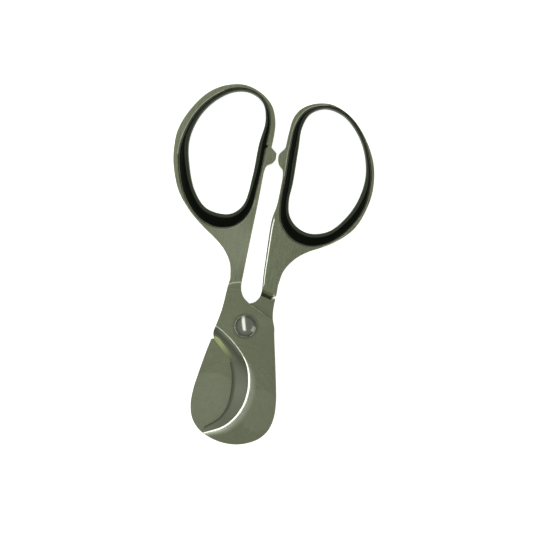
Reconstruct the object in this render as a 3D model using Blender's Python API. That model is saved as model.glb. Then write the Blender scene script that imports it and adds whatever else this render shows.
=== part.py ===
# Short concave-blade trimming scissors, lying flat, nearly closed.
# Origin: on the pivot axis, in the plane the scissors rest on. +Y runs from the pivot to the
# finger rings, +Z is the upward (front) face, the front half carries the ring at -X.
# Lengths below are in millimetres and are turned into metres when a mesh is made.
import bpy
import bmesh
from math import atan2, cos, hypot, pi, radians, sin

MM = 0.001

# --- driving dimensions -------------------------------------------------------------
PLATE_BOTTOM = 0.8        # underside of the steel of both handles
PLATE_TOP = 3.8           # upper face of the steel of both handles
LAP_MIDDLE = 2.3          # plane in which the two blades slide on each other
LAP_GAP = 0.3             # space between the two blade faces
GRIND_DEPTH = 0.25        # blade faces are ground this much below the handle faces
EDGE_CHAMFER = 0.22       # width of the broken outer edges
CHAMFER_HEIGHT = 0.5
REAR_TURN = 3.5           # degrees between the two halves' blades as they lie
STEP_RUN = 2.1            # length of the slope from the lap up to the handle face
PIVOT_HOLE = 2.5          # radius
HEAD_RADIUS = 3.7         # domed rivet head
HEAD_TOP = 4.85
HEAD_RECESS = 4.1         # radius of the shallow seat round the head
POST_RADIUS = 2.2
POST_BORE = 1.5
PLUG_RADIUS = 1.2
PLUG_HEAD = 3.6
PLUG_HEAD_HEIGHT = 0.5
FIT = 0.3                 # space left between pieces that touch
BEAD_HEIGHT = 4.6         # ring inserts, from the resting plane up
RIB = 0.35                # rib inside each ring that holds the insert
RIB_HALF = 0.6
RING_STEPS = 76
CURVE_STEP = 1.7          # spacing of points along curved outlines

# --- outline points: (x, y), joined by smooth curves --------------------------------
NECK_INNER = [(0, 7.6), (-1, 8.3), (-2.4, 9.4), (-3.4, 11), (-3.9, 12.6), (-4.0, 15)]
NECK_OUTER = [(-8.1, 15), (-8.4, 12), (-8.8, 5), (-9.2, 2), (-9.9, -1.7)]
HEEL = [(-9.9, -1.7), (-10.3, -4), (-9.7, -6.3)]
CUTTING_EDGE = [(-9.7, -6.3), (-5, -10.5), (-3, -13), (-1.8, -16), (-1, -20), (-0.8, -24),
                (-1.2, -28), (-2.8, -31.7), (-5, -34), (-7.4, -36), (-7.2, -38)]
BLADE_BACK = [(-7.2, -38), (-2, -39.7), (3, -39.85), (7, -38.9), (11.3, -36.5), (14, -33),
              (15.1, -28.5), (14.9, -23.5), (14.2, -19.5), (12.1, -10), (10.1, -1.2),
              (9.6, 1.4), (8.5, 4)]
# the rear blade's back ends in a corner below the front heel, then steps in out of sight
REAR_BACK = BLADE_BACK[:10] + [(11, -5.7)]
REAR_NOTCH = [(11, -5.7), (9.65, -5.42)]
REAR_NECK = [(9.65, -5.42), (9.1, -1.45), (8.6, 2.1), (8.5, 4)]
SHOULDER = [(-12, -0.9), (-9.9, -1.7), (-5, -4.5), (0, -8.8), (3, -12.8), (4.6, -17.5), (5, -22),
            (4.2, -27), (2, -31.5), (-1, -34.8), (-5, -37), (-7.2, -37.9), (-9.4, -38.4)]
EDGE_LINE = [(-13, -3.4), (-9.7, -6.3), (-5, -10.5), (-3, -13), (-1.8, -16), (-1, -20),
             (-0.8, -24), (-1.2, -28), (-2.8, -31.7), (-5, -34), (-7.4, -36), (-9.4, -37.6)]
STEP_LINE = [(-3.88, 10.98), (-8.89, 9.37)]
GRIND_LINE = [(-16, 9), (-8.5, 12.4), (-7, 13.2), (-4.6, 13.9), (0, 14.4)]

FRONT_SHANK = [(-4.0, 15), (-3.85, 27), (-3.6, 42), (-3.6, 52)]
FRONT_BUMP = [[(-3.6, 52), (-3.1, 54.2), (-1.3, 55.5), (-0.5, 57)], [(-0.5, 57), (-0.6, 59)],
              [(-0.6, 59), (-2.6, 60.6)]]
FRONT_RING = [(-2.6, 60.6), (-2.5, 65), (-2.9, 69.3), (-5, 74.4), (-9.6, 78.1), (-15.6, 79.65),
              (-22.1, 78.1), (-27.5, 74.3), (-32.3, 67.2), (-34.7, 60.5), (-34.9, 55.5),
              (-34, 49.1), (-30.6, 40.5), (-25.3, 34.2), (-20, 30), (-15.5, 27), (-11.8, 23.8),
              (-9.1, 19.6), (-8.1, 15)]
FRONT_CENTRE = (-18.2, 57)
FRONT_HOLE = [(-16, 35.6), (-21, 36.9), (-25.4, 41.8), (-28.5, 49.2), (-30.2, 58), (-28.1, 66.8),
              (-23.4, 73.3), (-18, 76.9), (-12.7, 77.4), (-8.2, 74.8), (-6.3, 69), (-7, 60.9),
              (-7.1, 50), (-8.3, 40.1), (-11.6, 36.4)]
FRONT_RIM = [(-16, 30.7), (-22.3, 32.8), (-28.2, 39), (-32, 48.4), (-32.9, 56), (-30.2, 66.3),
             (-25.1, 73.5), (-18.5, 77.8), (-12.2, 78), (-7.2, 74.9), (-4.6, 69), (-4.4, 61),
             (-4.7, 47.8), (-6, 37.4), (-9.8, 32.4)]

REAR_SHANK = [(2.95, 15), (2.6, 19), (2.38, 24), (2.1, 30), (1.95, 35), (2.15, 38.5), (2.7, 41.5),
              (2.9, 51)]
REAR_NECK_INNER = [(-0.46, 7.59), (1.1, 8.25), (2, 9.05), (2.83, 10.4), (3.1, 11.8), (3.1, 13.2),
                   (2.95, 15)]
REAR_NECK_OUTER = [(8.25, 15.6), (8.3, 13.2), (8.2, 11), (8.12, 8.5), (8.4, 5), (9.06, 2.56),
                   (9.99, -1.09)]
REAR_BUMP = [[(2.9, 51), (2.4, 53.9), (1.1, 55.1), (0.3, 57), (0.3, 58.8), (1.7, 60.8)],
             [(1.7, 60.8), (2.0, 61.6)]]
REAR_RING = [(2, 61.6), (2.2, 67), (2.8, 71.8), (4.8, 75.2), (8.6, 77.6), (14, 78.6), (18.6, 77.4),
             (23.4, 74.4), (28.1, 69.1), (32, 61.9), (33.5, 54.5), (33, 47.5), (29.9, 39),
             (24.3, 33.2), (20, 30.5), (16, 28.3), (12.3, 25.3), (9.2, 20.6), (8.25, 15.6)]
REAR_CENTRE = (17.6, 56)
REAR_HOLE = [(15.5, 34.6), (10.7, 36), (7.6, 39.3), (6.5, 44.2), (6.7, 50.1), (6.4, 61.9),
             (6.3, 69.2), (8.2, 74.2), (13, 76.8), (19, 75.7), (24, 71.7), (28, 65.7), (30.3, 57),
             (29.3, 48.6), (26.2, 41.8), (21.5, 36.5)]
REAR_RIM = [(15.5, 30.2), (9.3, 31.8), (5, 36.5), (3.7, 43.9), (3.7, 50), (3.4, 62), (3.9, 69.5),
            (6.5, 74.7), (12.6, 77.6), (18.8, 76.8), (24.4, 72.6), (29, 66), (32.2, 56.5),
            (31.6, 45.7), (27.5, 37.6), (22.1, 32.4)]
TAB_POINT = (-4.4, 60.6)  # the front insert's small locating tab
TAB_DEPTH = 0.55

# --- curves ---------------------------------------------------------------------------


def smooth(points, closed=False, step=CURVE_STEP):
    """Points along a centripetal curve through the given points."""
    count = len(points)
    out = []
    for i in range(count if closed else count - 1):
        p1, p2 = points[i], points[(i + 1) % count]
        p0 = points[i - 1] if closed or i else (2 * p1[0] - p2[0], 2 * p1[1] - p2[1])
        if closed or i + 2 < count:
            p3 = points[(i + 2) % count]
        else:
            p3 = (2 * p2[0] - p1[0], 2 * p2[1] - p1[1])
        knots = [0.0]
        for a, b in ((p0, p1), (p1, p2), (p2, p3)):
            knots.append(knots[-1] + hypot(b[0] - a[0], b[1] - a[1]) ** 0.5)
        pieces = max(1, round(hypot(p2[0] - p1[0], p2[1] - p1[1]) / step))
        for k in range(pieces):
            out.append(on_curve((p0, p1, p2, p3), knots, k / pieces))
    if not closed:
        out.append(tuple(points[-1]))
    return out


def on_curve(p, t, share):
    at = t[1] + (t[2] - t[1]) * share

    def mix(a, b, ta, tb):
        f = (at - ta) / (tb - ta)
        return (a[0] + (b[0] - a[0]) * f, a[1] + (b[1] - a[1]) * f)

    a1, a2, a3 = (mix(p[k], p[k + 1], t[k], t[k + 1]) for k in range(3))
    return mix(mix(a1, a2, t[0], t[2]), mix(a2, a3, t[1], t[3]), t[1], t[2])


def turned(points, degrees):
    c, s = cos(radians(degrees)), sin(radians(degrees))
    return [(x * c - y * s, x * s + y * c) for x, y in points]


def flipped(points):
    return [(-x, y) for x, y in points]


def joined(runs):
    """One closed outline out of runs that share their end points."""
    out = []
    for run in runs:
        for p in smooth(run):
            if not out or hypot(p[0] - out[-1][0], p[1] - out[-1][1]) > 0.05:
                out.append(p)
    if hypot(out[0][0] - out[-1][0], out[0][1] - out[-1][1]) < 0.05:
        out.pop()
    return out


def inset(loop, width):
    """The loop moved inward; width is a length or a function of (x, y)."""
    out = []
    for i, (x, y) in enumerate(loop):
        ax, ay = x - loop[i - 1][0], y - loop[i - 1][1]
        bx, by = loop[(i + 1) % len(loop)][0] - x, loop[(i + 1) % len(loop)][1] - y
        la, lb = hypot(ax, ay), hypot(bx, by)
        nx, ny = -(ay / la + by / lb), ax / la + bx / lb
        size = hypot(nx, ny)
        nx, ny = nx / size, ny / size
        lean = max(0.6, -nx * ay / la + ny * ax / la)
        d = (width(x, y) if callable(width) else width) / lean
        out.append((x + nx * d, y + ny * d))
    return out


def ring_radii(points, centre, angles):
    """Distance from the centre to a closed smooth curve at each angle."""
    dense = smooth(points, closed=True, step=0.5)
    polar = sorted((atan2(y - centre[1], x - centre[0]) % (2 * pi),
                    hypot(x - centre[0], y - centre[1])) for x, y in dense)
    polar = [(polar[-1][0] - 2 * pi, polar[-1][1])] + polar + [(polar[0][0] + 2 * pi, polar[0][1])]
    radii = []
    k = 0
    for a in angles:
        while polar[k + 1][0] < a:
            k += 1
        (a0, r0), (a1, r1) = polar[k], polar[k + 1]
        radii.append(r0 + (r1 - r0) * (a - a0) / max(a1 - a0, 1e-9))
    return radii


def ring_loop(centre, angles, radii):
    return [(centre[0] + r * cos(a), centre[1] + r * sin(a)) for a, r in zip(angles, radii)]

# --- solids ---------------------------------------------------------------------------


def new_object(name, verts, faces, material=None):
    mesh = bpy.data.meshes.new(name)
    mesh.from_pydata([(x * MM, y * MM, z * MM) for x, y, z in verts], [], faces)
    work = bmesh.new()
    work.from_mesh(mesh)
    bmesh.ops.recalc_face_normals(work, faces=work.faces)
    work.to_mesh(mesh)
    work.free()
    obj = bpy.data.objects.new(name, mesh)
    bpy.context.scene.collection.objects.link(obj)
    if material:
        mesh.materials.append(material)
    return obj


def stacked(name, levels, material=None):
    """A closed solid through loops of equal length; levels is [(loop, z), ...]."""
    n = len(levels[0][0])
    verts = [(x, y, z) for loop, z in levels for x, y in loop]
    faces = [list(range(n))[::-1], [(len(levels) - 1) * n + i for i in range(n)]]
    for k in range(len(levels) - 1):
        for i in range(n):
            j = (i + 1) % n
            faces.append([k * n + i, k * n + j, (k + 1) * n + j, (k + 1) * n + i])
    return new_object(name, verts, faces, material)


def swept(name, sections, closed, material=None):
    """A solid through equal closed sections of 3-D points."""
    n, m = len(sections), len(sections[0])
    verts = [p for section in sections for p in section]
    faces = []
    for k in range(n if closed else n - 1):
        for i in range(m):
            j, q = (i + 1) % m, (k + 1) % n
            faces.append([k * m + i, k * m + j, q * m + j, q * m + i])
    if not closed:
        faces += [list(range(m)), [(n - 1) * m + i for i in range(m)][::-1]]
    return new_object(name, verts, faces, material)


def lathed(name, profile, material=None, steps=48):
    """Turned solid; the profile starts and ends on the axis."""
    verts = [(0, 0, profile[0][1]), (0, 0, profile[-1][1])]
    rings = profile[1:-1]
    for r, z in rings:
        verts += [(r * cos(2 * pi * i / steps), r * sin(2 * pi * i / steps), z)
                  for i in range(steps)]
    faces = []
    last = 2 + (len(rings) - 1) * steps
    for i in range(steps):
        j = (i + 1) % steps
        faces += [[0, 2 + i, 2 + j], [1, last + j, last + i]]
        for k in range(len(rings) - 1):
            a = 2 + k * steps
            faces.append([a + i, a + steps + i, a + steps + j, a + j])
    return new_object(name, verts, faces, material)


def cut(target, *cutters):
    for cutter in cutters:
        cutter.hide_render = True
        cutter.display_type = 'WIRE'
        modifier = target.modifiers.new(cutter.name, 'BOOLEAN')
        modifier.operation = 'DIFFERENCE'
        modifier.solver = 'EXACT'
        modifier.object = cutter


def soften(obj, angle=35):
    for face in obj.data.polygons:
        face.use_smooth = True
    obj.data.set_sharp_from_angle(angle=radians(angle))


def metal(name, colour, roughness):
    material = bpy.data.materials.new(name)
    material.use_nodes = True
    shader = material.node_tree.nodes['Principled BSDF']
    shader.inputs['Base Color'].default_value = (*colour, 1)
    shader.inputs['Metallic'].default_value = 1
    shader.inputs['Roughness'].default_value = roughness
    return material


def plastic(name, colour, roughness):
    material = metal(name, colour, roughness)
    material.node_tree.nodes['Principled BSDF'].inputs['Metallic'].default_value = 0
    return material

# --- one half: outline plate, then the cuts ---------------------------------------------
# The rear half is the front half's design turned over: its points are mirrored in x, its
# heights mirrored about the lap plane, and its blade turned by REAR_TURN.


class Half:
    def __init__(self, name, rear):
        self.name = name
        self.rear = rear

    def place(self, points):
        return turned(flipped(points), REAR_TURN) if self.rear else list(points)

    def height(self, z):
        return 2 * LAP_MIDDLE - z if self.rear else z


def half_outline(half, shank, bump, ring):
    inner = REAR_NECK_INNER if half.rear else NECK_INNER
    outer = REAR_NECK_OUTER if half.rear else NECK_OUTER
    runs = [inner, shank, *bump, ring, outer]
    back = (REAR_BACK, REAR_NOTCH, REAR_NECK) if half.rear else (BLADE_BACK,)
    runs += [half.place(run) for run in (HEEL, CUTTING_EDGE, *back)]
    runs.append(half.place([BLADE_BACK[-1], NECK_INNER[0]]))
    loop = joined(runs)
    return loop[::-1] if half.rear else loop


def plate(half, loop, edge, material):
    z = [PLATE_BOTTOM, PLATE_BOTTOM + CHAMFER_HEIGHT, PLATE_TOP - CHAMFER_HEIGHT, PLATE_TOP]
    return stacked(half.name, [(inset(loop, EDGE_CHAMFER), z[0]), (loop, z[1]), (loop, z[2]),
                               (inset(loop, edge), z[3])], material)


def ring_cutter(half, centre, angles, rim):
    """Removes the finger hole, leaving the rib that holds the insert."""
    def loop(extra):
        return ring_loop(centre, angles, [r + extra for r in rim])
    top, low = PLATE_TOP, PLATE_BOTTOM
    lip = 0.2
    levels = [(loop(lip + 1), low - 1), (loop(lip), low), (loop(0), low + lip),
              (loop(0), LAP_MIDDLE - RIB_HALF), (loop(-RIB), LAP_MIDDLE - RIB_HALF),
              (loop(-RIB), LAP_MIDDLE + RIB_HALF), (loop(0), LAP_MIDDLE + RIB_HALF),
              (loop(0), top - lip), (loop(lip), top), (loop(lip + 1), top + 1)]
    return stacked(half.name + '_ring_cut', levels)


def lap_cutter(half):
    """Removes the half of the thickness the other half lies in, with a rounded slope."""
    (x0, y0), (x1, y1) = half.place(STEP_LINE)
    size = hypot(x1 - x0, y1 - y0)
    dx, dy = (x1 - x0) / size, (y1 - y0) / size
    nx, ny = (dy, -dx) if dx * 10 < 0 else (-dy, dx)
    if ny < 0:
        nx, ny = -nx, -ny
    lap = LAP_MIDDLE + LAP_GAP / 2
    drop = lap - PLATE_BOTTOM
    run = [(-70, lap), (0, lap), (0.12, lap - 0.02), (0.75, lap - 0.42 * drop),
           (1.35, lap - 0.78 * drop), (1.75, lap - 0.94 * drop), (STEP_RUN, PLATE_BOTTOM - 0.01),
           (STEP_RUN, -2), (-70, -2)]
    sections = [[(x0 + dx * s + nx * n, y0 + dy * s + ny * n, half.height(z)) for n, z in run]
                for s in (-40, 40)]
    return swept(half.name + '_lap_cut', sections, False)


def grind_cutter(half):
    """The shallow grind of the blade's outer face, ending in a curved line on the shank."""
    line = half.place(smooth(GRIND_LINE, step=1.2))
    far = half.place([(30, 14.4), (30, -60), (-30, -60), (-30, 9)])
    loop = line + far
    if half.rear:
        loop = loop[::-1]
    z = [half.height(PLATE_TOP - GRIND_DEPTH), half.height(PLATE_TOP + 2)]
    return stacked(half.name + '_grind_cut', [(loop, min(z)), (loop, max(z))])


def hollow_cutter(half):
    """The hollow grind from the polished shoulder line down to the cutting edge."""
    top = PLATE_TOP - GRIND_DEPTH
    lap = LAP_MIDDLE + LAP_GAP / 2
    honed = 0.9
    count = 44
    shoulder = even(smooth(half.place(SHOULDER), step=0.6), count)
    edge = even(smooth(half.place(EDGE_LINE), step=0.6), count)
    sections = []
    for (sx, sy), (ex, ey) in zip(shoulder, edge):
        size = hypot(ex - sx, ey - sy)
        ux, uy = (ex - sx) / size, (ey - sy) / size
        hone = max(0.4 * size, size - honed)
        section = [(0, top + 2)]
        for share in (0, 0.1, 0.24, 0.42, 0.7, 1):
            section.append((hone * share, lap + 0.32 + (top - lap - 0.32) * (1 - share) ** 2.3))
        section += [(size, lap + 0.07), (size + 2.2, lap - 0.05), (size + 2.2, top + 2)]
        sections.append([(sx + ux * a, sy + uy * a, half.height(z)) for a, z in section])
    return swept(half.name + '_hollow_cut', sections, False)


def even(points, count):
    """The same line with evenly spaced points."""
    run = [0.0]
    for a, b in zip(points, points[1:]):
        run.append(run[-1] + hypot(b[0] - a[0], b[1] - a[1]))
    out, k = [], 0
    for i in range(count):
        at = run[-1] * i / (count - 1)
        while k < len(run) - 2 and run[k + 1] < at:
            k += 1
        f = (at - run[k]) / (run[k + 1] - run[k])
        out.append(tuple(points[k][c] + (points[k + 1][c] - points[k][c]) * f for c in (0, 1)))
    return out


def pivot_cutter(half):
    profile = [(0, 6), (PIVOT_HOLE, 6), (PIVOT_HOLE, -2), (0, -2)]
    if not half.rear:
        seat = PLATE_TOP - GRIND_DEPTH
        profile = [(0, 6), (HEAD_RECESS + 0.15, 6), (HEAD_RECESS + 0.15, seat),
                   (HEAD_RECESS, seat - 0.12), (PIVOT_HOLE, seat - 0.12), (PIVOT_HOLE, -2),
                   (0, -2)]
    return lathed(half.name + '_pivot_cut', profile)


def ring_insert(name, centre, angles, hole, rim, material):
    """Bead that lines the finger hole: rounded inside, sloping outside, grooved for the rib."""
    sections = []
    for a, h, r in zip(angles, hole, rim):
        outer = r - FIT
        w = outer - h
        crown = min(1.1, 0.55 * w)
        half_high = BEAD_HEIGHT / 2
        groove = w - RIB
        side = [(groove, 0.9), (w, 0.95), (w, 1.5), (w - 0.15, 1.74), (crown, half_high),
                (0.45 * crown, half_high - 0.17), (0.1 * crown, half_high - 0.7), (0, 0.9)]
        section = side + [(u, -v) for u, v in side[::-1]]
        sections.append([(centre[0] + (h + u) * cos(a), centre[1] + (h + u) * sin(a),
                          LAP_MIDDLE + v) for u, v in section])
    return swept(name, sections, True, material)


def finger_angles(centre=None, tab=None):
    angles = [2 * pi * i / RING_STEPS for i in range(RING_STEPS)]
    if tab:
        middle = atan2(tab[1] - centre[1], tab[0] - centre[0]) % (2 * pi)
        wide = radians(2.6)
        angles = [a for a in angles if abs(a - middle) > wide * 1.2]
        angles += [middle - wide, middle - 0.55 * wide, middle, middle + 0.55 * wide, middle + wide]
        angles.sort()
        return angles, middle, wide
    return angles


def front_half(steel):
    half = Half('front_blade_half', False)
    angles, middle, wide = finger_angles(FRONT_CENTRE, TAB_POINT)
    hole = ring_radii(FRONT_HOLE, FRONT_CENTRE, angles)
    rim = ring_radii(FRONT_RIM, FRONT_CENTRE, angles)
    rim = [r + (TAB_DEPTH if abs(a - middle) < 0.7 * wide else 0) for a, r in zip(angles, rim)]
    loop = half_outline(half, FRONT_SHANK, FRONT_BUMP, FRONT_RING)
    obj = plate(half, loop, EDGE_CHAMFER, steel)
    cut(obj, ring_cutter(half, FRONT_CENTRE, angles, rim), lap_cutter(half), grind_cutter(half),
        hollow_cutter(half), pivot_cutter(half))
    return obj, angles, hole, rim


def rear_half(steel):
    half = Half('rear_blade_half', True)
    angles = finger_angles()
    hole = ring_radii(REAR_HOLE, REAR_CENTRE, angles)
    rim = ring_radii(REAR_RIM, REAR_CENTRE, angles)
    loop = half_outline(half, REAR_SHANK, REAR_BUMP, REAR_RING)

    def edge(x, y):
        # the rear shank's inner edge carries a wider chamfer that runs out below the ring
        return 0.7 if x < 4.2 and 14 < y < 38.6 else EDGE_CHAMFER

    obj = plate(half, loop, edge, steel)
    cut(obj, ring_cutter(half, REAR_CENTRE, angles, rim), lap_cutter(half), grind_cutter(half),
        hollow_cutter(half), pivot_cutter(half))
    return obj, angles, hole, rim


def rivet_post(steel):
    """Domed head with a hollow post through both halves."""
    low = PLATE_TOP - GRIND_DEPTH - 0.12 + FIT
    rise = HEAD_TOP - low - 0.2
    profile = [(0, HEAD_TOP)]
    for k in range(1, 7):
        a = radians(90 - 15 * k)
        profile.append((HEAD_RADIUS * cos(a), low + 0.2 + rise * sin(a)))
    profile += [(HEAD_RADIUS - 0.08, low), (POST_RADIUS, low), (POST_RADIUS, PLATE_BOTTOM),
                (POST_BORE, PLATE_BOTTOM), (POST_BORE, 3.1), (0, 3.1)]
    return lathed('pivot_rivet_post', profile, steel)


def rivet_plug(steel):
    """Flat head on the underside with the pin that fits in the hollow post."""
    profile = [(0, 2.8), (PLUG_RADIUS - 0.15, 2.8), (PLUG_RADIUS, 2.65),
               (PLUG_RADIUS, PLUG_HEAD_HEIGHT), (PLUG_HEAD - 0.12, PLUG_HEAD_HEIGHT),
               (PLUG_HEAD, PLUG_HEAD_HEIGHT - 0.12), (PLUG_HEAD, 0.12), (PLUG_HEAD - 0.12, 0),
               (0, 0)]
    return lathed('pivot_rivet_plug', profile, steel)


def build():
    for old in list(bpy.data.objects):
        bpy.data.objects.remove(old, do_unlink=True)
    brushed = metal('brushed_steel', (0.33, 0.33, 0.30), 0.36)
    polished = metal('polished_steel', (0.55, 0.55, 0.52), 0.16)
    black = plastic('black_insert', (0.02, 0.02, 0.02), 0.3)
    front, angles, hole, rim = front_half(brushed)
    front_bead = ring_insert('front_ring_insert', FRONT_CENTRE, angles, hole, rim, black)
    rear, angles, hole, rim = rear_half(brushed)
    rear_bead = ring_insert('rear_ring_insert', REAR_CENTRE, angles, hole, rim, black)
    post = rivet_post(polished)
    plug = rivet_plug(polished)
    for obj in (front, rear, front_bead, rear_bead, post, plug):
        soften(obj)


build()
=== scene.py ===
from math import atan2, cos, hypot, pi, radians, sin

import bpy
import bmesh
from mathutils import Matrix, Vector


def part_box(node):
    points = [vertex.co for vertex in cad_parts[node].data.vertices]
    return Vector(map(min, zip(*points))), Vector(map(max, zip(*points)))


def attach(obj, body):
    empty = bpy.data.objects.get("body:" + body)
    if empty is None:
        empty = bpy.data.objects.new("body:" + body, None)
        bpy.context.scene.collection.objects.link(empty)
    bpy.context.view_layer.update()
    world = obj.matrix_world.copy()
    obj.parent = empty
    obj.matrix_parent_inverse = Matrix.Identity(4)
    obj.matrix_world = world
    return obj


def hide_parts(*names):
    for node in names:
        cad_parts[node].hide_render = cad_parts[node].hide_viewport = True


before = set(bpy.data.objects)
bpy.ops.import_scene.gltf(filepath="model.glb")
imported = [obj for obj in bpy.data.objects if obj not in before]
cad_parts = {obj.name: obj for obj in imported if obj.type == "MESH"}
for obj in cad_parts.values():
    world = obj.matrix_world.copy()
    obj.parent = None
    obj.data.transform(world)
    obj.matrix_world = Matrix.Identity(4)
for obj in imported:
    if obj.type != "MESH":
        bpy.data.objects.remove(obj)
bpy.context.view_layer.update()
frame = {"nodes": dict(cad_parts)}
mm = 0.001
print("frame loaded:", ", ".join(frame["nodes"]))


# curves in the plane of the scissors, all in millimetres

def smoothCurve(points, closed=False, step=0.7):
    # centripetal curve through the points, about one point every step
    count = len(points)
    out = []
    for i in range(count if closed else count - 1):
        p1, p2 = points[i], points[(i + 1) % count]
        p0 = points[i - 1] if closed or i else (2 * p1[0] - p2[0], 2 * p1[1] - p2[1])
        if closed or i + 2 < count:
            p3 = points[(i + 2) % count]
        else:
            p3 = (2 * p2[0] - p1[0], 2 * p2[1] - p1[1])
        knots = [0.0]
        for a, b in ((p0, p1), (p1, p2), (p2, p3)):
            knots.append(knots[-1] + hypot(b[0] - a[0], b[1] - a[1]) ** 0.5)
        pieces = max(1, round(hypot(p2[0] - p1[0], p2[1] - p1[1]) / step))
        for k in range(pieces):
            out.append(curvePoint((p0, p1, p2, p3), knots, k / pieces))
    if not closed:
        out.append(tuple(points[-1]))
    return out


def curvePoint(p, t, share):
    at = t[1] + (t[2] - t[1]) * share

    def mix(a, b, ta, tb):
        f = (at - ta) / (tb - ta)
        return (a[0] + (b[0] - a[0]) * f, a[1] + (b[1] - a[1]) * f)

    a1, a2, a3 = (mix(p[k], p[k + 1], t[k], t[k + 1]) for k in range(3))
    return mix(mix(a1, a2, t[0], t[2]), mix(a2, a3, t[1], t[3]), t[1], t[2])


def turn(points, degrees):
    c, s = cos(radians(degrees)), sin(radians(degrees))
    return [(x * c - y * s, x * s + y * c) for x, y in points]


def joinRuns(runs, step):
    out = []
    for run in runs:
        for p in smoothCurve(run, step=step):
            if not out or hypot(p[0] - out[-1][0], p[1] - out[-1][1]) > 0.05:
                out.append(p)
    if hypot(out[0][0] - out[-1][0], out[0][1] - out[-1][1]) < 0.05:
        out.pop()
    return out


def insetLoop(loop, width):
    # moves a loop inward
    out = []
    for i, (x, y) in enumerate(loop):
        ax, ay = x - loop[i - 1][0], y - loop[i - 1][1]
        bx, by = loop[(i + 1) % len(loop)][0] - x, loop[(i + 1) % len(loop)][1] - y
        la, lb = hypot(ax, ay), hypot(bx, by)
        nx, ny = -(ay / la + by / lb), ax / la + bx / lb
        size = hypot(nx, ny)
        nx, ny = nx / size, ny / size
        move = width / max(0.6, -nx * ay / la + ny * ax / la)
        out.append((x + nx * move, y + ny * move))
    return out


def evenPoints(points, count):
    run = [0.0]
    for a, b in zip(points, points[1:]):
        run.append(run[-1] + hypot(b[0] - a[0], b[1] - a[1]))
    out, k = [], 0
    for i in range(count):
        at = run[-1] * i / (count - 1)
        while k < len(run) - 2 and run[k + 1] < at:
            k += 1
        f = (at - run[k]) / (run[k + 1] - run[k])
        out.append(tuple(points[k][c] + (points[k + 1][c] - points[k][c]) * f for c in (0, 1)))
    return out


def ringRadii(points, centre, angles):
    # distance from the centre to a closed curve at each angle
    dense = smoothCurve(points, closed=True, step=0.3)
    polar = sorted((atan2(y - centre[1], x - centre[0]) % (2 * pi),
                    hypot(x - centre[0], y - centre[1])) for x, y in dense)
    polar = [(polar[-1][0] - 2 * pi, polar[-1][1])] + polar + [(polar[0][0] + 2 * pi, polar[0][1])]
    radii, k = [], 0
    for a in angles:
        while polar[k + 1][0] < a:
            k += 1
        (a0, r0), (a1, r1) = polar[k], polar[k + 1]
        radii.append(r0 + (r1 - r0) * (a - a0) / max(a1 - a0, 1e-9))
    return radii


def ease(a, b, x):
    t = min(1, max(0, (x - a) / (b - a)))
    return t * t * (3 - 2 * t)


# meshes

def makeObject(name, verts, faces, material=None):
    mesh = bpy.data.meshes.new(name)
    mesh.from_pydata([(x * mm, y * mm, z * mm) for x, y, z in verts], [], faces)
    work = bmesh.new()
    work.from_mesh(mesh)
    bmesh.ops.recalc_face_normals(work, faces=work.faces)
    work.to_mesh(mesh)
    work.free()
    obj = bpy.data.objects.new(name, mesh)
    bpy.context.scene.collection.objects.link(obj)
    if material:
        mesh.materials.append(material)
    return obj


def stackLoops(name, levels, material=None):
    # closed solid through loops of equal length, [(loop, z), ...]
    n = len(levels[0][0])
    verts = [(x, y, z) for loop, z in levels for x, y in loop]
    faces = [list(range(n))[::-1], [(len(levels) - 1) * n + i for i in range(n)]]
    for k in range(len(levels) - 1):
        for i in range(n):
            j = (i + 1) % n
            faces.append([k * n + i, k * n + j, (k + 1) * n + j, (k + 1) * n + i])
    return makeObject(name, verts, faces, material)


def sweepSections(name, sections, closed, material=None):
    n, m = len(sections), len(sections[0])
    verts = [p for section in sections for p in section]
    faces = []
    for k in range(n if closed else n - 1):
        for i in range(m):
            j, q = (i + 1) % m, (k + 1) % n
            faces.append([k * m + i, k * m + j, q * m + j, q * m + i])
    if not closed:
        faces += [list(range(m)), [(n - 1) * m + i for i in range(m)][::-1]]
    return makeObject(name, verts, faces, material)


def spinProfile(name, profile, material=None, steps=96):
    verts = [(0, 0, profile[0][1]), (0, 0, profile[-1][1])]
    rings = profile[1:-1]
    for r, z in rings:
        verts += [(r * cos(2 * pi * i / steps), r * sin(2 * pi * i / steps), z)
                  for i in range(steps)]
    faces = []
    last = 2 + (len(rings) - 1) * steps
    for i in range(steps):
        j = (i + 1) % steps
        faces += [[0, 2 + i, 2 + j], [1, last + j, last + i]]
        for k in range(len(rings) - 1):
            a = 2 + k * steps
            faces.append([a + i, a + steps + i, a + steps + j, a + j])
    return makeObject(name, verts, faces, material)


def carve(target, cutters):
    # cuts, keeps the result as the target's own mesh and throws the cutters away
    for cutter in cutters:
        modifier = target.modifiers.new(cutter.name, "BOOLEAN")
        modifier.operation = "DIFFERENCE"
        modifier.solver = "EXACT"
        modifier.material_mode = "TRANSFER"
        modifier.object = cutter
    bpy.context.view_layer.update()
    graph = bpy.context.evaluated_depsgraph_get()
    result = bpy.data.meshes.new_from_object(target.evaluated_get(graph))
    target.modifiers.clear()
    target.data = result
    for cutter in cutters:
        bpy.data.objects.remove(cutter, do_unlink=True)


def paintFaces(obj, material, faces):
    # gives some faces a material of their own, by their numbers: finishes, painted highlights and
    # painted shade
    if material.name not in obj.data.materials:
        obj.data.materials.append(material)
    slot = obj.data.materials.find(material.name)
    for i in faces:
        obj.data.polygons[i].material_index = slot


def smoothShade(obj, angle=30, weighted=True):
    for face in obj.data.polygons:
        face.use_smooth = True
    obj.data.set_sharp_from_angle(angle=radians(angle))
    if weighted:
        modifier = obj.modifiers.new("flat_faces_stay_flat", "WEIGHTED_NORMAL")
        modifier.keep_sharp = True
        modifier.weight = 100


# materials

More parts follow.
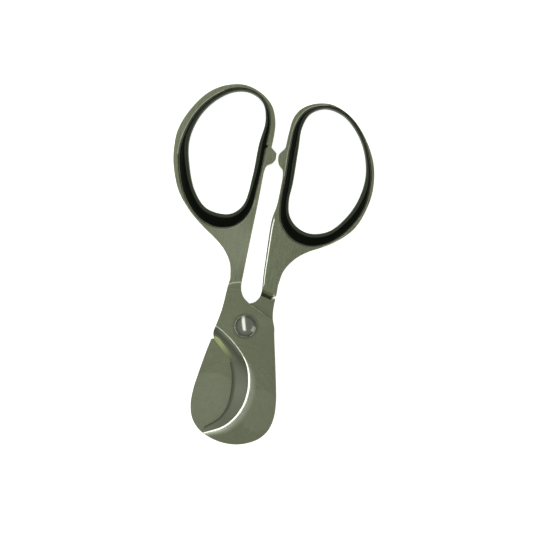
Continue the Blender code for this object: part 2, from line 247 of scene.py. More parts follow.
def startMaterial(name, colour, metallic, roughness):
    material = bpy.data.materials.new(name)
    material.use_nodes = True
    material.diffuse_color = (*colour, 1)
    shader = material.node_tree.nodes["Principled BSDF"]
    shader.inputs["Base Color"].default_value = (*colour, 1)
    shader.inputs["Metallic"].default_value = metallic
    shader.inputs["Roughness"].default_value = roughness
    return material, material.node_tree, shader


def addNode(tree, kind, **settings):
    node = tree.nodes.new("ShaderNode" + kind)
    for key, value in settings.items():
        if hasattr(node, key):
            setattr(node, key, value)
        else:
            node.inputs[key.replace("_", " ")].default_value = value
    return node


def link(tree, a, b):
    tree.links.new(a, b)


def rampNode(tree, source, stops):
    node = addNode(tree, "ValToRGB")
    ramp = node.color_ramp
    while len(ramp.elements) < len(stops):
        ramp.elements.new(0.5)
    for element, (place, value) in zip(ramp.elements, stops):
        element.position = place
        colour = value if isinstance(value, tuple) else (value, value, value)
        element.color = (*colour, 1)
    link(tree, source, node.inputs[0])
    return node.outputs[0]


def stretchedNoise(tree, place, scale, turnDegrees=0, detail=3):
    mapping = addNode(tree, "Mapping")
    mapping.inputs["Rotation"].default_value = (0, 0, radians(turnDegrees))
    mapping.inputs["Scale"].default_value = scale
    link(tree, place, mapping.inputs["Vector"])
    noise = addNode(tree, "TexNoise", Scale=1.0, Detail=detail, Roughness=0.6)
    link(tree, mapping.outputs[0], noise.inputs["Vector"])
    return noise.outputs["Fac"]


def mathNode(tree, operation, a, b):
    node = addNode(tree, "Math", operation=operation)
    for socket, value in zip(node.inputs, (a, b)):
        if isinstance(value, (int, float)):
            socket.default_value = value
        else:
            link(tree, value, socket)
    return node.outputs[0]


def mixColour(tree, factor, a, b):
    node = addNode(tree, "Mix", data_type="RGBA", blend_type="MIX")
    for socket, value in ((node.inputs[0], factor), (node.inputs[6], a), (node.inputs[7], b)):
        if isinstance(value, (int, float)):
            socket.default_value = value
        elif isinstance(value, tuple):
            socket.default_value = (*value, 1)
        else:
            link(tree, value, socket)
    return node.outputs[2]


def bumpNode(tree, height, strength, distance, after=None):
    node = addNode(tree, "Bump", Strength=strength, Distance=distance)
    link(tree, height, node.inputs["Height"])
    if after:
        link(tree, after, node.inputs["Normal"])
    return node.outputs["Normal"]


steelLook = {
    "colour": (0.356, 0.380, 0.280),      # a little green-grey, as matte stainless
    "darker": 0.68,                       # share of the colour in the grain's valleys
    "bareAndSheen": (0.72, 0.74, 0.66),           # rubbed edges and scratches, and the colour of painted sheen and highlights
    "roughness": (0.36, 0.46),
    "grainWidth": 0.20,                   # mm
    "grainLength": 7.0,                   # mm
    "grainTurn": 15,                      # degrees, across the handles
    "grainHeight": 0.008,                 # mm
    "wander": (42.0, 0.0035),             # how often and how far the grain strays
    "arcSpread": 0.012,                   # arcs round a grinding centre, metres per radian
    "speckle": 2300,                      # per metre
    "cloud": 95,                          # per metre
    # share of the pale colour on leaning faces: edge wear with a painted highlight
    "edgeWearAndSheen": 0.12,
    "edgeLean": [(0.25, 0.0), (0.5, 1.0), (0.85, 1.0), (0.97, 0.0)],
    "scratches": 0.18,
    "scratchScale": (5200, 160, 300),
    "scratchTurn": 27,
    "sheenSize": 11.0,                    # mm, radius of a lighter patch of painted sheen
    "sheenStrength": 0.10,
    "sheenFade": 0.93,                    # share of its radius where the patch starts to fade
}


def grainMaterial(name, changes, ringsAt=None, sheenAt=None):
    # brushed steel: straight grain along the handle, or arcs round a point on the blades
    look = {**steelLook, **changes}
    valley = tuple(c * look["darker"] for c in look["colour"])
    material, tree, shader = startMaterial(name, look["colour"], 1, look["roughness"][0])
    coords = addNode(tree, "TexCoord")
    place = coords.outputs["Object"]
    if ringsAt:
        # radius and angle round the grinding centre stand in for x and y
        split = addNode(tree, "SeparateXYZ")
        shift = addNode(tree, "VectorMath", operation="SUBTRACT")
        link(tree, place, shift.inputs[0])
        shift.inputs[1].default_value = (ringsAt[0] * mm, ringsAt[1] * mm, 0)
        link(tree, shift.outputs[0], split.inputs[0])
        x, y = split.outputs[0], split.outputs[1]
        radius = mathNode(tree, "SQRT", mathNode(tree, "ADD", mathNode(tree, "MULTIPLY", x, x),
                                                 mathNode(tree, "MULTIPLY", y, y)), 0)
        angle = mathNode(tree, "MULTIPLY", mathNode(tree, "ARCTAN2", y, x), look["arcSpread"])
        grid = addNode(tree, "CombineXYZ")
        link(tree, radius, grid.inputs[0])
        link(tree, angle, grid.inputs[1])
        grainPlace = grid.outputs[0]
    else:
        # the grain wanders a little, as a belt leaves it
        often, far = look["wander"]
        wander = addNode(tree, "TexNoise", Scale=often, Detail=1.0)
        link(tree, place, wander.inputs["Vector"])
        bend = addNode(tree, "VectorMath", operation="SCALE")
        bend.inputs["Scale"].default_value = far
        link(tree, wander.outputs["Color"], bend.inputs[0])
        add = addNode(tree, "VectorMath", operation="ADD")
        link(tree, place, add.inputs[0])
        link(tree, bend.outputs[0], add.inputs[1])
        grainPlace = add.outputs[0]
    fine = (1 / (look["grainWidth"] * mm), 1 / (look["grainLength"] * mm), 300)
    grain = stretchedNoise(tree, grainPlace, fine, 0 if ringsAt else look["grainTurn"], detail=4)
    speckle = stretchedNoise(tree, place, (look["speckle"],) * 3, detail=2)
    cloud = stretchedNoise(tree, place, (look["cloud"],) * 3, detail=3)
    scratch = stretchedNoise(tree, place, look["scratchScale"], look["scratchTurn"], detail=1)
    scratch = rampNode(tree, scratch, [(0.70, 0.0), (0.735, 1.0), (0.76, 0.0)])
    # rounded edges are rubbed bare and also get a painted highlight: faces that lean are neither
    # flat nor upright
    lean = addNode(tree, "SeparateXYZ")
    link(tree, coords.outputs["Normal"], lean.inputs[0])
    wornAndSheen = rampNode(tree, mathNode(tree, "ABSOLUTE", lean.outputs[2], 0), look["edgeLean"])

    lines = mathNode(tree, "ADD", mathNode(tree, "MULTIPLY", grain, 0.6),
                     mathNode(tree, "MULTIPLY", speckle, 0.4))
    tone = rampNode(tree, lines, [(0.36, valley), (0.62, look["colour"])])
    tone = mixColour(tree, rampNode(tree, cloud, [(0.35, 0.0), (0.7, 0.4)]), tone, valley)
    # painted sheen: a lighter patch round one point
    if sheenAt:
        away = addNode(tree, "VectorMath", operation="DISTANCE")
        link(tree, place, away.inputs[0])
        away.inputs[1].default_value = (sheenAt[0] * mm, sheenAt[1] * mm, lapMiddle * mm)
        near = mathNode(tree, "DIVIDE", away.outputs["Value"], look["sheenSize"] * mm)
        fade, shine = look["sheenFade"], look["sheenStrength"]
        near = rampNode(tree, near, [(fade * 0.54, shine), (fade, shine * 0.8), (1.0, 0.0)])
        tone = mixColour(tree, near, tone, look["bareAndSheen"])
    tone = mixColour(tree, mathNode(tree, "MULTIPLY", wornAndSheen, look["edgeWearAndSheen"]), tone, look["bareAndSheen"])
    tone = mixColour(tree, mathNode(tree, "MULTIPLY", scratch, look["scratches"]), tone,
                     look["bareAndSheen"])
    link(tree, tone, shader.inputs["Base Color"])

    rough = addNode(tree, "MapRange", To_Min=look["roughness"][0], To_Max=look["roughness"][1])
    rough.inputs["From Min"].default_value = 0.35
    rough.inputs["From Max"].default_value = 0.65
    link(tree, lines, rough.inputs[0])
    wornRough = mathNode(tree, "SUBTRACT", rough.outputs[0], mathNode(tree, "MULTIPLY", wornAndSheen, 0.08))
    link(tree, wornRough, shader.inputs["Roughness"])
    bump = bumpNode(tree, lines, 0.25, look["grainHeight"] * mm)
    bump = bumpNode(tree, scratch, 0.12, look["grainHeight"] * mm, after=bump)
    link(tree, bump, shader.inputs["Normal"])
    return material


polishLook = {
    "colour": (0.62, 0.635, 0.60),
    "roughness": (0.11, 0.15),
    "swirl": 0.10,
    "rimShade": 0.45,                      # painted shade: the dome darkens towards its rim
    "rimLean": [(0.948, 1.0), (0.960, 0.75), (0.974, 0.0)],
}


def polishedMaterial(name, look):
    # buffed steel with faint hairlines and smears
    material, tree, shader = startMaterial(name, look["colour"], 1, look["roughness"][0])
    coords = addNode(tree, "TexCoord")
    place = coords.outputs["Object"]
    smear = stretchedNoise(tree, place, (420, 420, 420), detail=4)
    hair = stretchedNoise(tree, place, (9000, 300, 900), turnDegrees=-35, detail=2)
    tone = mixColour(tree, rampNode(tree, smear, [(0.35, 0.0), (0.7, look["swirl"])]),
                     look["colour"], tuple(c * 0.75 for c in look["colour"]))
    lean = addNode(tree, "SeparateXYZ")
    link(tree, coords.outputs["Normal"], lean.inputs[0])
    # painted shade towards the rim
    rim = rampNode(tree, mathNode(tree, "ABSOLUTE", lean.outputs[2], 0), look["rimLean"])
    tone = mixColour(tree, rim, tone, tuple(c * look["rimShade"] for c in look["colour"]))
    link(tree, tone, shader.inputs["Base Color"])
    low, high = look["roughness"]
    rough = addNode(tree, "MapRange", To_Min=low, To_Max=high)
    rough.inputs["From Min"].default_value = 0.3
    rough.inputs["From Max"].default_value = 0.7
    link(tree, smear, rough.inputs[0])
    link(tree, rough.outputs[0], shader.inputs["Roughness"])
    link(tree, bumpNode(tree, hair, 0.06, 0.003 * mm), shader.inputs["Normal"])
    return material


beadLook = {
    "colour": (0.0026, 0.0032, 0.0022),
    "scuffed": (0.010, 0.012, 0.008),
    "roughness": (0.28, 0.42),
    "gloss": 0.05,
    "pebble": 0.25,                      # mm across
}


def beadMaterial(name, look):
    # moulded black, slightly glossy, with a fine pebble and a few dull scuffs
    material, tree, shader = startMaterial(name, look["colour"], 0, look["roughness"][0])
    place = addNode(tree, "TexCoord").outputs["Object"]
    pebble = addNode(tree, "TexNoise", Scale=1 / (look["pebble"] * mm), Detail=2.0)
    link(tree, place, pebble.inputs["Vector"])
    wave = stretchedNoise(tree, place, (260, 260, 260), detail=3)
    scuff = stretchedNoise(tree, place, (2600, 420, 900), turnDegrees=50, detail=2)
    scuff = rampNode(tree, scuff, [(0.60, 0.0), (0.72, 1.0)])
    tone = mixColour(tree, mathNode(tree, "MULTIPLY", scuff, 0.3), look["colour"], look["scuffed"])
    link(tree, tone, shader.inputs["Base Color"])
    low, high = look["roughness"]
    rough = addNode(tree, "MapRange", To_Min=low, To_Max=high)
    rough.inputs["From Min"].default_value = 0.3
    rough.inputs["From Max"].default_value = 0.7
    link(tree, wave, rough.inputs[0])
    dull = mathNode(tree, "ADD", rough.outputs[0], mathNode(tree, "MULTIPLY", scuff, 0.12))
    link(tree, dull, shader.inputs["Roughness"])
    bump = bumpNode(tree, pebble.outputs["Fac"], 0.25, 0.006 * mm)
    link(tree, bumpNode(tree, wave, 0.2, 0.03 * mm, after=bump), shader.inputs["Normal"])
    shader.inputs["Specular IOR Level"].default_value = look["gloss"]
    return material


# heights read from the model

frontLow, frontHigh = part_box("front_blade_half")
rearLow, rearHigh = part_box("rear_blade_half")
beadLow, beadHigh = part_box("front_ring_insert")
headLow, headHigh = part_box("pivot_rivet_post")
plateBottom, plateTop = frontLow[2] / mm, frontHigh[2] / mm
lapMiddle = (plateBottom + plateTop) / 2
print("front half", round(plateBottom, 2), "to", round(plateTop, 2), "mm high, rear half",
      round(rearLow[2] / mm, 2), "to", round(rearHigh[2] / mm, 2))

bladeColour = (0.302, 0.324, 0.236)
handleSteel = grainMaterial("brushed_handle_steel", {
    "darker": 0.56, "sheenSize": 11.0, "sheenStrength": 0.16, "sheenFade": 0.45}, sheenAt=(-8, 27))
frontBladeSteel = grainMaterial("front_blade_steel", {
    "colour": bladeColour, "sheenStrength": 0.08, "sheenSize": 7.5},
    ringsAt=(-2.0, -31.0), sheenAt=(9.5, -27))
rearBladeSteel = grainMaterial("rear_blade_steel", {
    "colour": bladeColour, "sheenStrength": 0.09}, ringsAt=(-2.0, -31.0), sheenAt=(-6.5, -28))
# the hollow's darker colour and lighter centre are painted shade and sheen
hollowSteel = grainMaterial("hollow_ground_steel", {
    "colour": (0.190, 0.205, 0.163), "roughness": (0.32, 0.36), "grainHeight": 0.001,
    "darker": 0.92, "edgeWearAndSheen": 0, "scratches": 0.05, "sheenSize": 10.0, "sheenFade": 0.25,
    "sheenStrength": 0.12}, ringsAt=(-9.0, -22.0), sheenAt=(1.5, -22))
# darker copies for the band along the hollow's edge: painted shade
hollowEdgeShadeSteel = grainMaterial("hollow_edge_painted_shade", {
    "colour": (0.115, 0.128, 0.100), "roughness": (0.32, 0.36), "grainHeight": 0.001,
    "darker": 0.9, "edgeWearAndSheen": 0, "scratches": 0}, ringsAt=(-9.0, -22.0))
hollowFadeShadeSteel = grainMaterial("hollow_fade_painted_shade", {
    "colour": (0.158, 0.172, 0.137), "roughness": (0.32, 0.36), "grainHeight": 0.001,
    "darker": 0.9, "edgeWearAndSheen": 0, "scratches": 0}, ringsAt=(-9.0, -22.0))
# the roll's faces get a painted sheen that fades outward from the shoulder's bright line
rollSteel = grainMaterial("rolled_shoulder_painted_sheen", {
    "colour": bladeColour, "edgeWearAndSheen": 0.75, "sheenStrength": 0.08, "sheenSize": 7.5,
    "edgeLean": [(0.955, 1.0), (0.975, 0.78), (0.990, 0.42), (0.996, 0.20), (0.9999, 0.0)]},
    ringsAt=(-2.0, -31.0), sheenAt=(9.5, -27))
# buffed steel whose pale colour is also a painted highlight
shoulderSteel = grainMaterial("buffed_shoulder_painted_highlight", {
    "colour": (0.80, 0.82, 0.78), "roughness": (0.17, 0.24), "grainHeight": 0.002,
    "edgeWearAndSheen": 0, "scratches": 0.05}, ringsAt=(-9.0, -22.0))
# the honed strip is painted lighter near the heel as a highlight
honedSteel = grainMaterial("honed_edge_steel", {
    "colour": (0.21, 0.225, 0.165), "bareAndSheen": (0.72, 0.78, 0.42), "roughness": (0.30, 0.36),
    "grainHeight": 0.001, "darker": 0.9, "edgeWearAndSheen": 0, "scratches": 0, "sheenSize": 8.0,
    "sheenStrength": 0.95, "sheenFade": 0.30}, ringsAt=(-9.0, -22.0), sheenAt=(-8.4, -7.4))
# pale rough steel painted on thin lines and lips as a highlight
paintedHighlightSteel = grainMaterial("painted_highlight_line_steel", {
    "colour": (0.75, 0.77, 0.68), "roughness": (0.38, 0.45), "edgeWearAndSheen": 0})
# dark steel painted on steep slopes, rims and the rivet's edge as shade
paintedShadeSteel = grainMaterial("step_steel_painted_shade", {
    "colour": (0.15, 0.165, 0.105), "roughness": (0.3, 0.4), "edgeWearAndSheen": 0})
domeSteel = polishedMaterial("polished_rivet_steel", polishLook)
beadBlack = beadMaterial("black_bead", beadLook)
# a paler copy of the black, painted on the inner wall as light
beadLitWall = beadMaterial("black_bead_painted_lit_wall", {
    **beadLook, "colour": (0.040, 0.048, 0.034), "scuffed": (0.050, 0.059, 0.042)})
print("materials ready")


# the two steel halves

bladeShape = {
    "neckInner": [(0, 7.6), (-1, 8.3), (-2.4, 9.4), (-3.4, 11), (-3.9, 12.6), (-4.0, 15)],
    "neckOuter": [(-8.1, 15), (-8.4, 12), (-8.8, 5), (-9.2, 2), (-9.9, -1.7)],
    "heel": [(-9.9, -1.7), (-10.3, -4), (-9.7, -6.3)],
    "cuttingEdge": [(-9.7, -6.3), (-5, -10.5), (-3, -13), (-1.8, -16), (-1, -20), (-0.8, -24),
                    (-1.2, -28), (-2.8, -31.7), (-5, -34), (-7.4, -36), (-7.2, -38)],
    "back": [(-7.2, -38), (-2, -39.7), (3, -39.85), (7, -38.9), (11.3, -36.5), (14, -33),
             (15.1, -28.5), (14.9, -23.5), (14.2, -19.5), (12.1, -10), (10.1, -1.2),
             (9.6, 1.4), (8.5, 4)],
    "rearCorner": (11, -5.7),             # where the rear blade's back stops
    "rearNeck": [(9.65, -5.42), (9.1, -1.45), (8.6, 2.1), (8.5, 4)],
    "shoulder": [(-12, -0.9), (-9.9, -1.7), (-5, -4.5), (0, -8.8), (3, -12.8), (4.6, -17.5),
                 (5, -22), (4.2, -27), (2, -31.5), (-1, -34.8), (-5, -37), (-7.2, -37.9),
                 (-9.4, -38.4)],
    "edgeLine": [(-13, -3.4), (-9.7, -6.3), (-5, -10.5), (-3, -13), (-1.8, -16), (-1, -20),
                 (-0.8, -24), (-1.2, -28), (-2.8, -31.7), (-5, -34), (-7.4, -36), (-9.4, -37.6)],
    "grindDepth": 0.25,
    "lapGap": 0.3,
    "rearTurn": 3.5,             # degrees between the two blades as they lie
    "pivotHole": 2.5,            # radius
    "headSeat": 4.1,             # radius of the shallow seat under the rivet head
    "edgeRound": (0.20, 0.32),   # across, down
    "trim": 0.02,                # how far the outline stays inside the model's own
    "beyond": 1,                 # how far a cut runs past the steel
}

frontHandle = {
    "neckInner": bladeShape["neckInner"],
    "neckOuter": bladeShape["neckOuter"],
    "shank": [(-4.0, 15), (-3.85, 27), (-3.6, 42), (-3.6, 52)],
    "lug": [[(-3.6, 52), (-3.1, 54.2), (-1.3, 55.5), (-0.5, 57)], [(-0.5, 57), (-0.6, 59)],
            [(-0.6, 59), (-2.6, 60.6)]],
    "ring": [(-2.6, 60.6), (-2.5, 65), (-2.9, 69.3), (-5, 74.4), (-9.6, 78.1), (-15.6, 79.65),
             (-22.1, 78.1), (-27.5, 74.3), (-32.3, 67.2), (-34.7, 60.5), (-34.9, 55.5),
             (-34, 49.1), (-30.6, 40.5), (-25.3, 34.2), (-20, 30), (-15.5, 27), (-11.8, 23.8),
             (-9.1, 19.6), (-8.1, 15)],
    "centre": (-18.2, 57),
    "hole": [(-16, 35.6), (-21, 36.9), (-25.4, 41.8), (-28.5, 49.2), (-30.2, 58), (-28.1, 66.8),
             (-23.4, 73.3), (-18, 76.9), (-12.7, 77.4), (-8.2, 74.8), (-6.3, 69), (-7, 60.9),
             (-7.1, 50), (-8.3, 40.1), (-11.6, 36.4)],
    "rim": [(-16, 30.7), (-22.3, 32.8), (-28.2, 39), (-32, 48.4), (-32.9, 56), (-30.2, 66.3),
            (-25.1, 73.5), (-18.5, 77.8), (-12.2, 78), (-7.2, 74.9), (-4.6, 69), (-4.4, 61),
            (-4.7, 47.8), (-6, 37.4), (-9.8, 32.4)],
    "tab": ((-4.4, 60.6), 0.55),
}

rearHandle = {
    "neckInner": [(-0.46, 7.59), (1.1, 8.25), (2, 9.05), (2.83, 10.4), (3.1, 11.8), (3.1, 13.2),
                  (2.95, 15)],
    "neckOuter": [(8.25, 15.6), (8.3, 13.2), (8.2, 11), (8.12, 8.5), (8.4, 5), (9.06, 2.56),
                  (9.99, -1.09)],
    "shank": [(2.95, 15), (2.6, 19), (2.38, 24), (2.1, 30), (1.95, 35), (2.15, 38.5), (2.7, 41.5),
              (2.9, 51)],
    "lug": [[(2.9, 51), (2.4, 53.9), (1.1, 55.1), (0.3, 57), (0.3, 58.8), (1.7, 60.8)],
            [(1.7, 60.8), (2.0, 61.6)]],
    "ring": [(2, 61.6), (2.2, 67), (2.8, 71.8), (4.8, 75.2), (8.6, 77.6), (14, 78.6), (18.6, 77.4),
             (23.4, 74.4), (28.1, 69.1), (32, 61.9), (33.5, 54.5), (33, 47.5), (29.9, 39),
             (24.3, 33.2), (20, 30.5), (16, 28.3), (12.3, 25.3), (9.2, 20.6), (8.25, 15.6)],
    "centre": (17.6, 56),
    "hole": [(15.5, 34.6), (10.7, 36), (7.6, 39.3), (6.5, 44.2), (6.7, 50.1), (6.4, 61.9),
             (6.3, 69.2), (8.2, 74.2), (13, 76.8), (19, 75.7), (24, 71.7), (28, 65.7), (30.3, 57),
             (29.3, 48.6), (26.2, 41.8), (21.5, 36.5)],
    "rim": [(15.5, 30.2), (9.3, 31.8), (5, 36.5), (3.7, 43.9), (3.7, 50), (3.4, 62), (3.9, 69.5),
            (6.5, 74.7), (12.6, 77.6), (18.8, 76.8), (24.4, 72.6), (29, 66), (32.2, 56.5),
            (31.6, 45.7), (27.5, 37.6), (22.1, 32.4)],
    "tab": None,
}


def placePoints(points, rear):
    return turn([(-x, y) for x, y in points], bladeShape["rearTurn"]) if rear else list(points)


def placeHeight(z, rear):
    return 2 * lapMiddle - z if rear else z


def halfOutline(handle, rear, step=0.6):
    shape = bladeShape
    runs = [handle["neckInner"], handle["shank"], *handle["lug"], handle["ring"],
            handle["neckOuter"]]
    backs = [shape["back"]]
    if rear:
        corner = shape["rearCorner"]
        backs = [shape["back"][:10] + [corner], [corner, shape["rearNeck"][0]], shape["rearNeck"]]
    runs += [placePoints(run, rear) for run in (shape["heel"], shape["cuttingEdge"], *backs)]
    runs.append(placePoints([shape["back"][-1], shape["neckInner"][0]], rear))
    loop = joinRuns(runs, step)
    return loop[::-1] if rear else loop


def roundedPlate(name, loop, material):
    (across, down), trim = bladeShape["edgeRound"], bladeShape["trim"]
    levels = []
    for k in range(4):
        a = radians(30 * k)
        levels.append((insetLoop(loop, trim + across * (1 - sin(a))),
                       plateBottom + down * (1 - cos(a))))
    for k in range(3, -1, -1):
        a = radians(30 * k)
        levels.append((insetLoop(loop, trim + across * (1 - sin(a))),
                       plateTop - down * (1 - cos(a))))
    return stackLoops(name, levels, material)


shankBevel = {        # wide chamfer inside the rear shank, painted bright as a highlight
    "width": (0.6, 0.9),         # at its two ends
    "slope": 33,
    "rim": 0.14,                 # band of painted shade along the outside
    "end": 40,                   # stops below this height on the shank
}
neckLine = {          # fine line where the front blade lies on the rear neck, painted bright as a highlight
    "line": [(0, 7.6), (4.3, 5.8), (8.5, 4), (9.6, 1.4)],
    "width": (0.16, 0.16),
    "slope": 28,
    "rim": 0.0,
}


def bevelCutter(name, line, bevel, top, material, count=60):
    # a slanting cut along an edge, with the steel on the right of the line's direction,
    # and a steeper rim along the outside, painted dark as shade
    points = evenPoints(smoothCurve(line, step=0.4), count)
    fallSlope, rimSlope = (sin(radians(a)) / cos(radians(a)) for a in (bevel["slope"], 50))
    outside, taper = 0.6, 0.06
    first, last = bevel["width"]
    sections = []
    for i, (x, y) in enumerate(points):
        (ax, ay), (bx, by) = points[max(0, i - 1)], points[min(count - 1, i + 1)]
        size = hypot(bx - ax, by - ay)
        nx, ny = (by - ay) / size, -(bx - ax) / size
        t = i / (count - 1)
        wide = (first + (last - first) * t) * min(1, t / taper, (1 - t) / taper)
        edge = min(bevel["rim"], wide * 0.5)
        fall = (wide - edge) * fallSlope
        section = [(wide, top), (edge, top - fall),
                   (-outside, top - fall - (edge + outside) * rimSlope),
                   (-outside, top + bladeShape["beyond"]), (wide, top + bladeShape["beyond"])]
        sections.append([(x + nx * a, y + ny * a, z) for a, z in section])
    obj = sweepSections(name, sections, False, material)
    around = len(sections[0])
    # painted shade on the rim
    paintFaces(obj, paintedShadeSteel, [k * around + 1 for k in range(count - 1)])
    return obj


def ringAngles(handle, count=240):
    angles = [2 * pi * i / count for i in range(count)]
    radii = {}
    if handle["tab"]:
        (x, y), depth = handle["tab"]
        middle = atan2(y - handle["centre"][1], x - handle["centre"][0]) % (2 * pi)
        wide = radians(2.6)
        angles = [a for a in angles if abs(a - middle) > wide * 1.2]
        angles += [middle + wide * s for s in (-1, -0.65, -0.55, -0.3, 0, 0.3, 0.55, 0.65, 1)]
        angles.sort()
    radii["hole"] = ringRadii(handle["hole"], handle["centre"], angles)
    radii["rim"] = ringRadii(handle["rim"], handle["centre"], angles)
    if handle["tab"]:
        radii["rim"] = [r + (depth if abs(a - middle) < 0.6 * wide else 0)
                        for a, r in zip(angles, radii["rim"])]
    return angles, radii


ringGroove = {
    "ribDepth": 0.35,            # the steel stands into the insert's groove
    "ribHeight": 0.6,            # half of the rib
    "lip": 0.5,                  # eased edge round the opening, front and back
    "bareAndSheen": (100, 195),          # degrees round the ring where the lip gets a painted highlight
}


def ringCutter(handle, angles, rim):
    cut = ringGroove
    lip, rib, half = cut["lip"], cut["ribDepth"], cut["ribHeight"]
    beyond = bladeShape["beyond"]

    def loop(extra):
        return [(handle["centre"][0] + (r + extra) * cos(a),
                 handle["centre"][1] + (r + extra) * sin(a)) for a, r in zip(angles, rim)]

    under = [(loop(lip + beyond), plateBottom - beyond), (loop(lip), plateBottom),
             (loop(lip * 0.3), plateBottom + lip * 0.3), (loop(0), plateBottom + lip)]
    middle = [(loop(0), lapMiddle - half), (loop(-rib), lapMiddle - half),
              (loop(-rib), lapMiddle + half), (loop(0), lapMiddle + half)]
    over = [(loop(0), plateTop - lip), (loop(lip * 0.3), plateTop - lip * 0.3),
            (loop(lip), plateTop), (loop(lip + beyond), plateTop + beyond)]
    obj = stackLoops("ring_cut", under + middle + over, handleSteel)
    count = len(angles)
    row = len(under + middle) + 1          # the flatter half of the upper lip
    low, high = (radians(a) for a in cut["bareAndSheen"])
    # painted highlight on the upper-left of the lip
    paintFaces(obj, paintedHighlightSteel, [2 + row * count + i for i, a in enumerate(angles)
                                if low < a < high])
    return obj


lapStep = {           # a slope from the lap up to the handle face, painted dark as shade
    "line": [(-3.88, 10.98), (-8.89, 9.37)],
    "run": 1.95,
    "foot": [(-0.3, 0), (-0.2, 0.01), (-0.1, 0.05)],
    "steepness": 1.35,
    # the step curls up at its outer end and catches the light, with a painted highlight there:
    # (distance along, curl)
    "curl": [(-40, 0), (3.3, 0), (3.7, 0.12), (4.1, 0.35), (4.5, 0.65), (5.0, 1.0), (5.5, 1.15),
             (40, 1.2)],
    "dull": 2,                   # the sections before the curl, painted dark as shade
}


def lapCutter(rear):
    # makes room for the other half
    step, beyond, pieces = lapStep, 70, 12
    (x0, y0), (x1, y1) = placePoints(step["line"], rear)
    size = hypot(x1 - x0, y1 - y0)
    dx, dy = (x1 - x0) / size, (y1 - y0) / size
    nx, ny = -dy, dx
    if ny < 0:
        nx, ny = -nx, -ny
    lap = lapMiddle + bladeShape["lapGap"] / 2
    run = [(-beyond, lap)] + [(n, lap - down) for n, down in step["foot"]]
    start, sunk = step["foot"][-1]
    rise = lap - plateBottom - sunk
    for k in range(1, pieces + 1):
        t = k / pieces
        run.append((start + (step["run"] - start) * t,
                    lap - sunk - rise * (1 - (1 - t) ** step["steepness"])))
    far = step["run"] + 0.3
    run += [(far, plateBottom - 0.02), (far, -2), (-beyond, -2)]
    sections = []
    for s, curl in step["curl"]:
        moved = [(n + (curl if n > -1 else 0), z) for n, z in run]
        sections.append([(x0 + dx * s + nx * n, y0 + dy * s + ny * n, placeHeight(z, rear))
                         for n, z in moved])
    obj = sweepSections("lap_cut", sections, False, rearBladeSteel if rear else frontBladeSteel)
    around, slope = len(run), range(2, len(step["foot"]) + pieces + 1)
    # painted shade on the slope, then a painted highlight where it curls
    for k in range(len(sections) - 1):
        paintFaces(obj, paintedShadeSteel if k < step["dull"] else shoulderSteel,
                   [k * around + i for i in slope])
    return obj


grind = {             # the grind ends in a short slope on the neck, painted bright as a highlight
    "line": [(-16, 9), (-8.5, 12.4), (-7, 13.2), (-4.6, 13.9), (0, 14.4)],
    "slope": 0.5,                # how far the slope runs
    "reach": [(30, 14.4), (30, -60), (-30, -60), (-30, 9)],
}


def grindCutter(rear):
    line = smoothCurve(grind["line"], step=0.5)
    low = placePoints(line + grind["reach"], rear)
    high = placePoints([(x, y + grind["slope"]) for x, y in line] + grind["reach"], rear)
    floor = plateTop - bladeShape["grindDepth"]
    levels = [(low, floor), (high, plateTop + 0.001), (high, plateTop + 2)]
    if rear:
        levels = [(loop[::-1], placeHeight(z, True)) for loop, z in levels[::-1]]
    obj = stackLoops("grind_cut", levels, rearBladeSteel if rear else frontBladeSteel)
    count, steps = len(low), range(len(line) - 1)
    # painted highlight on the short slope
    paintFaces(obj, paintedHighlightSteel, [2 + count + count - 2 - i if rear else 2 + i for i in steps])
    return obj


hollow = {            # rolled and buffed shoulder, long hollow, honed edge
    "roll": (0.3, 2.0),          # width at the heel, and what is added along the blade
    "rollSlopes": (1.5, 3, 5, 7.5, 10.5, 15),
    "buff": (0.2, 0.44),         # the same for the buffed strip, painted bright as a highlight
    "buffSlopes": (22, 28, 31, 32, 31),
    "foot": ((0.05, 27), (0.05, 21), (0.06, 15)),      # width, slope
    "hollowSteps": (0.08, 0.2, 0.35, 0.5, 0.65, 0.8, 0.92, 1),
    "roundness": 1.8,
    "edgeHeight": 0.30,          # of the blade where the hollow meets the honed strip
    "honedWidth": 1.6,
    "honedRange": (-5.2, -12.6),
    "highlightLineAbove": -10,            # the shoulder is a painted highlight line above this
}


def hollowSection(size, sy, ey, top, lap):
    # (distance from the shoulder line, height) across the hollow
    low = lap + hollow["edgeHeight"]
    full = ease(-8, -19, sy)
    roll = hollow["roll"][0] + hollow["roll"][1] * full * (1 - 0.4 * ease(-34, -38, sy))
    buff = min(hollow["buff"][0] + hollow["buff"][1] * full, size * 0.2)
    honed = hollow["honedWidth"] * (0.1 + 0.9 * ease(-4.8, -7.0, ey) * ease(-13.2, -11.6, ey))
    hone = max(0.45 * size, size - honed)
    at, depth = -roll - buff / 2, 0.0
    section = [(at, top + 2), (at, top + 0.004)]
    pieces = [(roll / len(hollow["rollSlopes"]), slope) for slope in hollow["rollSlopes"]]
    pieces += [(buff / len(hollow["buffSlopes"]), slope) for slope in hollow["buffSlopes"]]
    for run, slope in pieces + list(hollow["foot"]):
        at, depth = at + run, depth + run * sin(radians(slope)) / cos(radians(slope))
        section.append((at, top - depth))
    for t in hollow["hollowSteps"]:
        fall = (top - depth - low) * (1 - (1 - t) ** hollow["roundness"])
        section.append((at + (hone - at) * t, top - depth - fall))
    return section + [(size, lap + 0.05), (size + 2.2, lap - 0.05), (size + 2.2, top + 2)]


